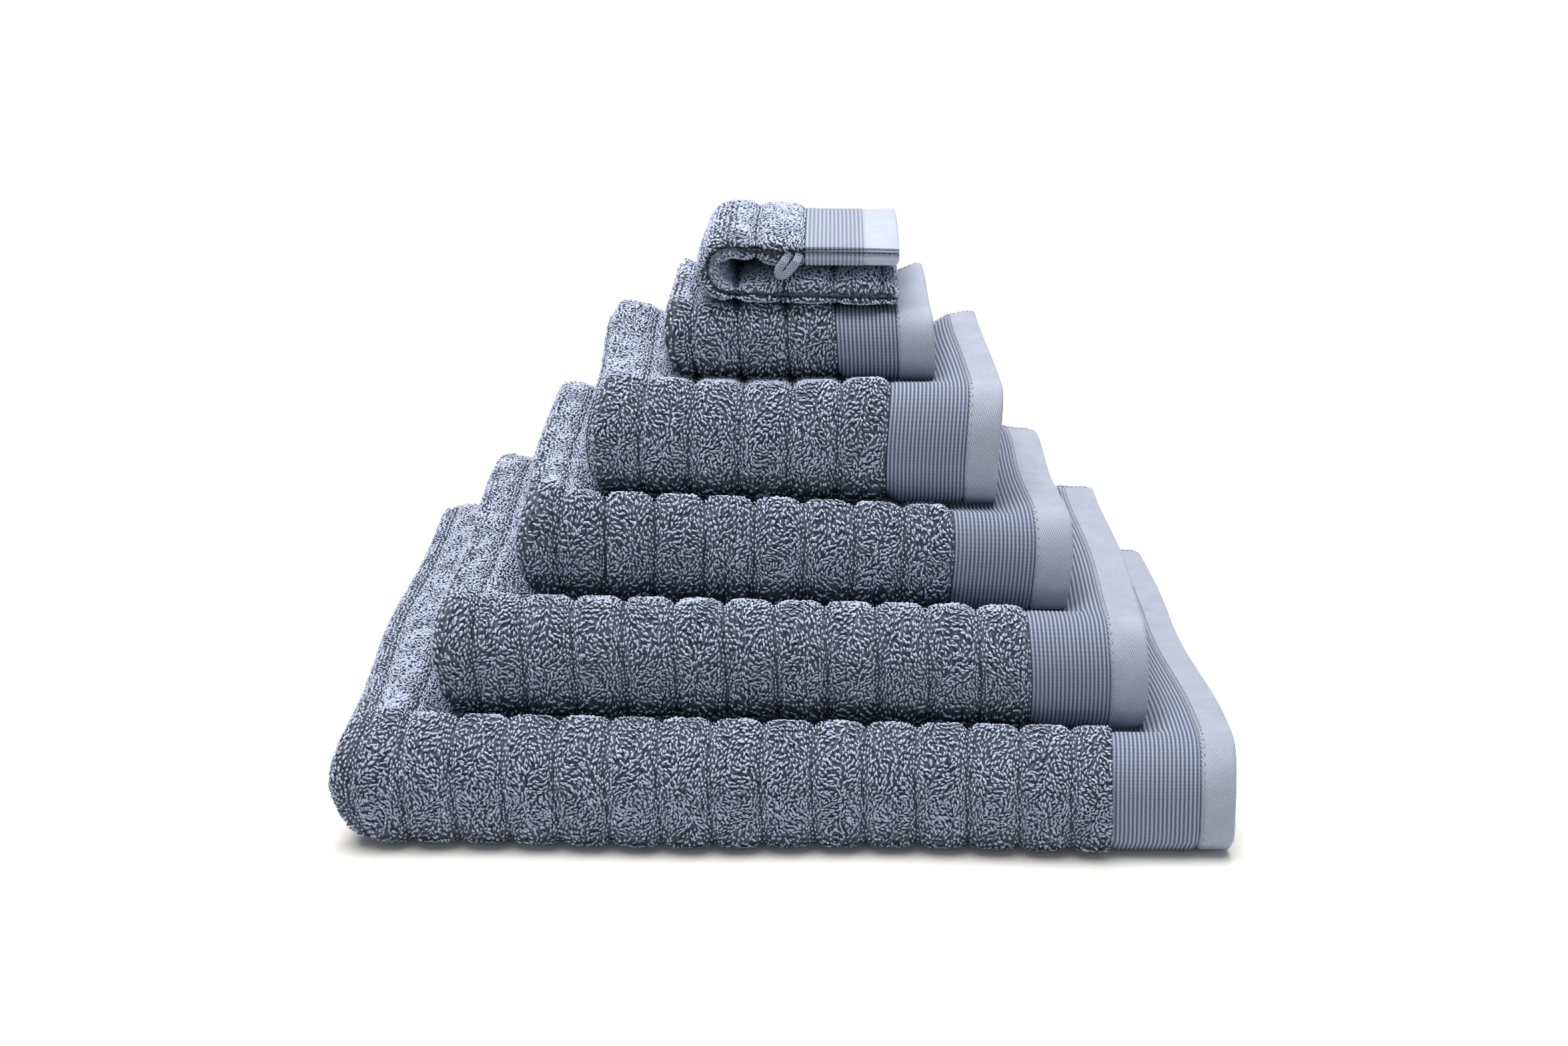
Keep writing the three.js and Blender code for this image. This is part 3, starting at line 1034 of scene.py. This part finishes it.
# %% The mitt's lines
MITT_NODES = ["mitt_lower_fold", "mitt_lower_back", "mitt_lower_palm", "mitt_upper_fold",
              "mitt_under_terry", "mitt_under_border", "mitt_under_hem", "mitt_top_terry",
              "mitt_top_border", "mitt_top_hem", "mitt_front_seam", "mitt_back_seam"]
mitt_boxes = [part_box(name) for name in MITT_NODES]
MITT_LOW = np.min([b[0] for b in mitt_boxes], axis=0)
MITT_HIGH = np.max([b[1] for b in mitt_boxes], axis=0)
MITT_HEM = MITT_HIGH[0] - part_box("mitt_top_hem")[0][0]
MITT_BAND = MITT_HIGH[0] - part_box("mitt_top_border")[0][0]
MIDDLE_HEIGHT = (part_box("mitt_lower_palm")[1][2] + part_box("mitt_under_terry")[0][2]) / 2
TURN_AT = MITT_LOW[0] + 22 * MM        # the two halves are straight to the right of this
STRAIGHT = MITT_HIGH[0] - TURN_AT
ROUND = 44 * MM                        # length of cloth given to the fold
MITT_LENGTH = 2 * STRAIGHT + ROUND
MITT_SPLIT = 2 * MM                    # the fold's own piece reaches this far past the turn
HALF_WIDTH = (MITT_HIGH[1] - MITT_LOW[1]) / 2 - 1.5 * MM
MITT_MIDDLE = (MITT_HIGH[1] + MITT_LOW[1]) / 2
ARCH = 10 * MM                         # height of the flattened arch before it is scaled
CROSS = Path(turn((0, 0), HALF_WIDTH, ARCH, math.pi, 0, 3.4, 48))
MITT_WIDTH = CROSS.length
CLOSED_END = 13 * MM

# Heights over the middle, in millimetres, at the right end, at the border, by the fold, and how
# far the line reaches to the left of the turn. First the upper half, then the lower half.
LINES = {
    "outer": ([23.4, 23.8, 24.4], [-18.6, -18.8, -19.0], 21.8),
    "seam": ([10.8, 11.8, 14.6], [-16.4, -15.8, -12.4], 15.0),
    "pocket": ([13.6, 14.0, 15.4], [-10.4, -10.4, -11.8], 14.6),
    "inner": ([0.35, 0.35, 6.6], [-0.35, -0.35, -6.6], 5.6),
}
LINE_AT = [MITT_HIGH[0], MITT_HIGH[0] - MITT_BAND - 12 * MM, TURN_AT]
print(f"mitt: each panel {MITT_LENGTH / MM:.0f} mm long and {MITT_WIDTH / MM:.0f} mm wide")

# %% [markdown]
# ## The mitt's faces
# A point of a face is found in two steps. The side seam and the face's own line give two ends
# at its distance from the mouth, and the flattened arch says how far it stands from the one to
# the other. Near the seam the face is pulled in. By the closed end the arch tapers to nothing.

# %% A point of the mitt
PINCH = 3.6 * MM                       # how far the seams are pulled in
PALM_PINCH = 1.4 * MM                  # the inner faces are a little narrower all over
PINCH_SPREAD = 0.30                    # in shares of the arch
NARROWEST = 0.3 * MM                   # how wide the pocket's side of a panel stands from its face


def mitt_line(name, s):
    """Where one of the lines is, a distance s from the mouth: x and z."""
    upper, lower, reach = LINES[name]
    along_upper = np.clip(s, 0, STRAIGHT)
    along_lower = np.clip(s - STRAIGHT - ROUND, 0, STRAIGHT)
    angle = np.clip((s - STRAIGHT) / ROUND, 0, 1) * math.pi
    x = np.where(s < STRAIGHT + ROUND / 2, MITT_HIGH[0] - along_upper, TURN_AT + along_lower)
    z_upper = np.interp(-x, [-v for v in LINE_AT], upper) * MM
    z_lower = np.interp(-x, [-v for v in LINE_AT], lower) * MM
    middle, rise = (z_upper + z_lower) / 2, (z_upper - z_lower) / 2
    x = x - reach * MM * np.abs(np.sin(angle)) ** 0.85
    return x, MIDDLE_HEIGHT + middle + rise * np.cos(angle)


def mitt_arch(face, s, t, inset=0.0, gap=0.0):
    """A point of a panel's face: "outer" or "inner", or the pocket side of that panel."""
    across, arch = CROSS.at(t)[:2]
    arch = arch / ARCH
    x0, z0 = mitt_line("seam", s)
    x1, z1 = mitt_line(face if gap == 0 else "pocket", s)
    if gap != 0:
        x2, z2 = mitt_line(face, s)
        size = np.hypot(x2 - x1, z2 - z1)
        open_by = NARROWEST + (gap - NARROWEST) * smooth(-s, -70 * MM, 0)
        x1, z1 = x1 + (x2 - x1) / size * open_by, z1 + (z2 - z1) / size * open_by
    left = np.clip((MITT_LENGTH - s) / CLOSED_END, 0, 1)
    taper = (1 - (1 - left) ** 2.6) ** (1 / 2.6)
    arch = arch * taper
    pinched = np.exp(-(arch / PINCH_SPREAD) ** 2)
    pulled_in = (PINCH + inset) * pinched + inset
    if face == "inner":
        pulled_in = pulled_in + PALM_PINCH * (1 - pinched)
    else:
        front = smooth(-across / HALF_WIDTH, -0.1, 0.95)
        front = front * smooth(-s, -STRAIGHT - ROUND / 2, -60 * MM)
        arch = arch * (1 - 0.34 * front)
    y = across * (1 - 0.05 * (1 - taper))
    y = MITT_MIDDLE + np.sign(across) * np.maximum(np.abs(y) - pulled_in, 0)
    sag = 1.0 * MM * np.sin(s / (23 * MM) + t / (31 * MM)) * arch * (face == "outer")
    return np.stack([x0 + (x1 - x0) * arch, y, z0 + (z1 - z0) * arch + sag], axis=-1)


def raised(face):
    """A put function over a face of the mitt, which moves points out along its normal."""
    flip = -1 if face == "inner" else 1

    def put(s, t, out):
        step = 0.5 * MM
        s_low, s_high = np.maximum(s - step, 0), np.minimum(s + step, MITT_LENGTH)
        t_low, t_high = np.maximum(t - step, 0), np.minimum(t + step, MITT_WIDTH)
        along = mitt_arch(face, s_high, t) - mitt_arch(face, s_low, t)
        across = mitt_arch(face, s, t_high) - mitt_arch(face, s, t_low)
        normal = np.cross(across, along) * flip
        normal /= np.maximum(np.linalg.norm(normal, axis=-1), 1e-12)[..., None]
        return mitt_arch(face, s, t) + normal * np.asarray(out)[..., None]
    return put


MITT_PUT = {face: raised(face) for face in ("outer", "inner")}
for face, put in MITT_PUT.items():
    probe = put(np.array([60 * MM]), np.array([MITT_WIDTH / 2]), np.array([1 * MM]))
    print(face, "face of the mitt, above its border at z =", round(float(probe[0, 2]) / MM, 1), "mm")

# %% [markdown]
# ## The mitt's two panels
# A panel is five pieces: hem, border and terry on the upper half, the terry of the fold, and
# the terry of the lower half. The halves each ride on their own body. The fold's pieces ride on
# neither.

# %% Which half a piece belongs to
UPPER_END = STRAIGHT - MITT_SPLIT
LOWER_START = STRAIGHT + ROUND + MITT_SPLIT


def on_mitt(piece, part):
    """Puts a piece on the half it belongs to. A piece of the fold keeps its place baked into its
    points and rides on neither half.
    """
    if part == "fold":
        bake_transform(piece)
    else:
        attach(piece, {"upper": "mitt_mouth_half", "lower": "mitt_closed_half"}[part])

# %% The mitt's cloth
PANEL_THICK = 2.8 * MM                 # at the mouth
MOUTH_EDGE = 2.5 * MM                  # the mouth's edge is rounded over this


def mitt_shell(name, face, s, relief, material, tone):
    """A closed piece of panel. Its columns are closer together near the side seams."""
    t = MITT_WIDTH * (0.5 - 0.5 * np.cos(np.linspace(0, math.pi, 45)))
    t = 0.6 * t + 0.4 * np.linspace(0, MITT_WIDTH, 45)
    S, T = np.meshgrid(s, t, indexing="ij")
    near = np.clip(S / MOUTH_EDGE, 0, 1)
    swell = (0.35 + 0.65 * np.sqrt(1 - (1 - near) ** 2))[..., None]
    outer = MITT_PUT[face](S, T, relief(S))
    pocket = mitt_arch(face, S, T, inset=0.9 * MM, gap=PANEL_THICK)
    middle = (outer + pocket) / 2
    return shell(name, middle + (outer - middle) * swell, middle + (pocket - middle) * swell,
                 S, T, material, tone(S))


def mitt_relief(S):
    return rib_relief(S, MITT_BAND) * 0.8


MITT_CORDS = 14
MITT_CORD_PITCH = (MITT_BAND - MITT_HEM) / MITT_CORDS
THINNER = {"outer": -1.4 * MM, "inner": -0.2 * MM}     # the flat zones, against the terry


def mitt_cord(S):
    return cord_wave(S, MITT_HEM, MITT_CORD_PITCH)


# Shade values for the mitt's pieces. 0 leaves the terry ground painted dark between its loops, as
# painted shade. 1 paints the hem paler, as painted light, and on the fold's inner terry it paints
# loops on the ground, paler.
def dark(S):
    return 0 * S


def pale(S):
    return 1 + 0 * S


def panel_parts(face, place, lower_node, fold_node):
    """Label, half, rows, material, relief, tone, slot and CAD node of each piece of a panel."""
    def flat(S):
        return THINNER[face] + 0 * S

    def corded(S):
        return THINNER[face] + CORD_DEPTH * mitt_cord(S)

    # Painted light and shade: the mitt's border is painted dark between cords and paler over all.
    def cord_light_and_shade(S):
        return 0.42 + 0.58 * mitt_cord(S)

    hem_rows = joined(edge_rows(0.0, 0.6 * MM, 5), spread(3 * MM, MITT_HEM, 3 * MM))
    border_rows = np.linspace(MITT_HEM, MITT_BAND, MITT_CORDS * 4 + 1)
    upper_rows = joined(rib_rows(MITT_BAND, UPPER_END), [UPPER_END])
    fold_rows = np.linspace(UPPER_END, LOWER_START, 41)
    lower_rows = joined([LOWER_START],
                        np.linspace(LOWER_START + 2 * MM, MITT_LENGTH - 13 * MM, 40),
                        np.linspace(MITT_LENGTH - 12 * MM, MITT_LENGTH - 0.02 * MM, 12))
    fold_tone = pale if face == "inner" else dark
    return [
        ("hem", "upper", hem_rows, HEM, flat, pale, "hem", f"mitt_{place}_hem"),
        ("border", "upper", border_rows, BORDER, corded, cord_light_and_shade, "border",
         f"mitt_{place}_border"),
        ("upper_terry", "upper", upper_rows, GROUND, mitt_relief, dark, "terry",
         f"mitt_{place}_terry"),
        ("fold_terry", "fold", fold_rows, GROUND, mitt_relief, fold_tone, "terry", fold_node),
        ("lower_terry", "lower", lower_rows, GROUND, mitt_relief, dark, "terry", lower_node),
    ]


def make_panel(face, place, lower_node, fold_node):
    made = {}
    for label, half, rows, material, relief, tone, slot, node in panel_parts(
            face, place, lower_node, fold_node):
        piece = mitt_shell(f"mitt_{face}_{label}", face, rows, relief, material, tone)
        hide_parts(node)
        on_mitt(piece, half)
        made[label] = piece
    lengths = {"upper_terry": UPPER_END - MITT_BAND, "fold_terry": LOWER_START - UPPER_END,
               "lower_terry": MITT_LENGTH - LOWER_START}
    for label, length in lengths.items():
        hems = {"with_pieces": [made["border"], made["hem"]]} if label == "upper_terry" else {}
    print(face, "panel of the mitt:", len(made), "pieces")


make_panel("outer", "top", "mitt_lower_back", "mitt_upper_fold")
make_panel("inner", "under", "mitt_lower_palm", "mitt_lower_fold")

# %% [markdown]
# ## The mitt's loops and side seams
# The panels get loops like the towels', but none at the side seams, where the cloth is sewn
# down. The seams are slanted stitches over the edge. Loops and stitches are made in the same
# three stretches as the panels, so each stretch is placed like its cloth.

# %% The mitt's loops
BARE_SEAM = 2.6 * MM                   # no loops stand this near a side seam
MITT_SEED = 41
MITT_SWIRL = 5.0


def mitt_stretches(start, end):
    """The upper half, the fold and the lower half, between two distances from the mouth."""
    return [("upper", start, UPPER_END), ("fold", UPPER_END, LOWER_START),
            ("lower", LOWER_START, end)]


def pile_mitt():
    rng = np.random.default_rng(MITT_SEED)
    total = 0
    for face, put in MITT_PUT.items():
        for half, start, end in mitt_stretches(MITT_BAND, MITT_LENGTH - 0.5 * MM):
            s, t, free = loop_places(MITT_BAND, end, 0.7 * MM, MITT_WIDTH - 0.7 * MM, rng)
            keep = (s > start + 0.3 * MM) & (t > BARE_SEAM) & (t < MITT_WIDTH - BARE_SEAM)
            places = s[keep], t[keep], free[keep]
            total += piled(f"mitt_{face}_{half}_loops", put, mitt_relief, places, rng, MITT_SWIRL,
                           lambda pile: on_mitt(pile, half), MITT_TOP_PAINTED_LIGHT)
    return total


print("the mitt has", pile_mitt(), "loops")

# %% The mitt's side seams
SEAM_STEP = 3.0 * MM
SEAM_LONG = 3.0 * MM
SEAM_THICK = 0.9 * MM


def sew_mitt(label, t_seam, out_y):
    count = 0
    for half, start, end in mitt_stretches(1 * MM, MITT_LENGTH - 4 * MM):
        s = np.arange(start, end, SEAM_STEP)
        root = mitt_arch("outer", s, np.full(len(s), t_seam))
        outward = np.zeros(root.shape)
        outward[:, 1] = out_y
        ahead = unit(np.gradient(root, axis=0))
        slanted = ahead + 0.5 * np.cross(ahead, outward)
        seam = sew(f"mitt_{label}_seam_{half}", root - outward * 0.5 * MM, slanted, outward,
                   SEAM_LONG, SEAM_THICK)
        if half == "upper":
            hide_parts(f"mitt_{label}_seam")
        on_mitt(seam, half)
        count += len(s)
    print(f"{label} seam of the mitt: {count} stitches")


sew_mitt("front", 0.0, -1)
sew_mitt("back", MITT_WIDTH, 1)

# %% [markdown]
# ## The hanging loop
# A short braided tape is doubled over and sewn into the front seam beside the border. It hangs
# slanted, its two legs side by side. A tape is a flat, soft-edged strip, so its outline is swept
# along a hairpin line that stays in the plane of the mitt's front.

# %% The tape's line
TAPE_WIDE = 4.9 * MM
TAPE_THICK = 1.5 * MM
EYE_TOP = 11.2 * MM                    # the tape leaves the seam this far over the mitt's middle
CORNER_CUTS = 3                        # each cut replaces a corner by two nearer the curve


def hairpin():
    """The tape's middle line from the seam, down one leg, round and up the other: x and z."""
    seam = np.array([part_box("mitt_hanging_loop")[1][0] + 1.0 * MM, MIDDLE_HEIGHT + EYE_TOP])
    down_one_leg = [(0, 0), (-2.2, -4.5), (-6.2, -9.4)]
    round_the_end = [(-9.0, -11.9), (-12.0, -12.0), (-12.7, -8.9)]
    up_the_other = [(-10.3, -5.0), (-6.8, -1.0), (-5.6, 0.6)]
    corners = seam + np.array(down_one_leg + round_the_end + up_the_other) * MM
    for _ in range(CORNER_CUTS):
        middle = np.stack([0.75 * corners[:-1] + 0.25 * corners[1:],
                           0.25 * corners[:-1] + 0.75 * corners[1:]], 1).reshape(-1, 2)
        corners = np.concatenate([corners[:1], middle, corners[-1:]])
    return Path(corners)

# %% Sweep the tape
def tape_outline(sides):
    """A flat, soft-edged oval: how far each corner is from the middle, across and through."""
    around = np.linspace(0, 2 * math.pi, sides, endpoint=False)
    wide = np.sign(np.cos(around)) * np.abs(np.cos(around)) ** 0.5 * TAPE_WIDE / 2
    deep = np.sign(np.sin(around)) * np.abs(np.sin(around)) ** 0.8 * TAPE_THICK / 2
    return wide, deep


def tube_faces(count, sides):
    """Triangles of a swept tube, closed at both ends on two extra points."""
    at = np.arange(count * sides).reshape(count, sides)
    after = np.roll(at, -1, 1)
    quads = np.stack([at[:-1], at[1:], after[1:], after[:-1]], -1).reshape(-1, 4)
    first_end = np.full(sides, count * sides)
    return np.concatenate([quads[:, [0, 1, 2]], quads[:, [0, 2, 3]],
                           np.stack([at[0], after[0], first_end], -1),
                           np.stack([after[-1], at[-1], first_end + 1], -1)])


def make_tape(stations=60, sides=14):
    line = hairpin()
    along = np.linspace(0, line.length, stations)
    x, z, side_x, side_z = line.at(along)
    wide, deep = tape_outline(sides)
    tucked = smooth(z, MIDDLE_HEIGHT + 7 * MM, MIDDLE_HEIGHT + 11 * MM)
    front = MITT_LOW[1] - 1.2 * MM + 3.6 * MM * tucked + 0.4 * MM * np.sin(along / (4 * MM))
    grid = np.stack([x[:, None] + side_x[:, None] * wide, front[:, None] + deep + 0 * x[:, None],
                     z[:, None] + side_z[:, None] * wide], -1)
    ends = [grid[0].mean(0)[None], grid[-1].mean(0)[None]]
    points = np.concatenate([grid.reshape(-1, 3)] + ends)
    faces = tube_faces(stations, sides)
    if signed_volume(points, faces) < 0:
        faces = faces[:, ::-1]
    uv = np.stack([np.repeat(along, sides), np.tile(wide, stations)], -1)
    uv = np.concatenate([uv, [[0, 0]], [[line.length, 0]]])
    print("tape:", round(line.length / MM), "mm long")
    return new_mesh("mitt_tape_loop", points, faces, TAPE, uv=uv)


tape = make_tape()
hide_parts("mitt_hanging_loop")
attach(tape, "mitt_loop")

# %% [markdown]
# ## The room
# A pale floor and a bright, even sky stand in for a studio sweep: soft light from every side
# leaves only the shadows between the towels. A wide sun overhead makes the fronts darker than
# the tops, and a large box hangs high enough to clear the stack when its towels are lifted. The
# floor and the lights are not part of the object.

# %% Floor and light
SKY_STRENGTH = 0.34
SUN_STRENGTH = 3.55
SUN_SPREAD = math.radians(46)          # as wide as this, its shadows have no edges
BOX_POWER = 9.0
BOX_AT = (0.0, 0.03, 1.3)
WARM = (1.0, 0.957, 0.89)
COOL = (0.95, 0.975, 1.0)
FLOOR_DROP = 0.5 * MM                  # the floor lies a little low, clear of the cloth
FLOOR_DARK = (0.80, 0.80, 0.80)
FLOOR_PALE = (0.83, 0.83, 0.83)


def pale_floor():
    bpy.ops.object.select_all(action="DESELECT")
    bpy.ops.mesh.primitive_plane_add(size=30, location=(0, 0, -FLOOR_DROP))
    floor = bpy.context.object
    floor.name = "floor"
    finish = Finish("pale_floor", roughness=0.9, sheen=0.0)
    cloudy = finish.noise(finish.place(), 3.0)
    finish.colour(finish.mix(cloudy, FLOOR_DARK, FLOOR_PALE))
    floor.data.materials.append(finish.material)


def hang_light(name, kind, power, shines, place=(0, 0, 0)):
    """A lamp at a place that shines in a direction."""
    data = bpy.data.lights.new(name, kind)
    data.energy = power
    data.color = WARM
    lamp = bpy.data.objects.new(name, data)
    bpy.context.scene.collection.objects.link(lamp)
    lamp.location = place
    lamp.rotation_euler = Vector(shines).to_track_quat("-Z", "Y").to_euler()
    return data


def bright_sky():
    world = bpy.data.worlds.new("sky")
    world.use_nodes = True
    sky = world.node_tree.nodes["Background"]
    sky.inputs["Color"].default_value = (*COOL, 1.0)
    sky.inputs["Strength"].default_value = SKY_STRENGTH
    bpy.context.scene.world = world


pale_floor()
bright_sky()
sun = hang_light("overhead", "SUN", SUN_STRENGTH, shines=(0.10, 0.02, -1.0))
sun.angle = SUN_SPREAD
box = hang_light("top_box", "AREA", BOX_POWER, shines=(0.0, 0.02, -1.1), place=BOX_AT)
box.shape = "RECTANGLE"
box.size, box.size_y = 0.7, 0.6
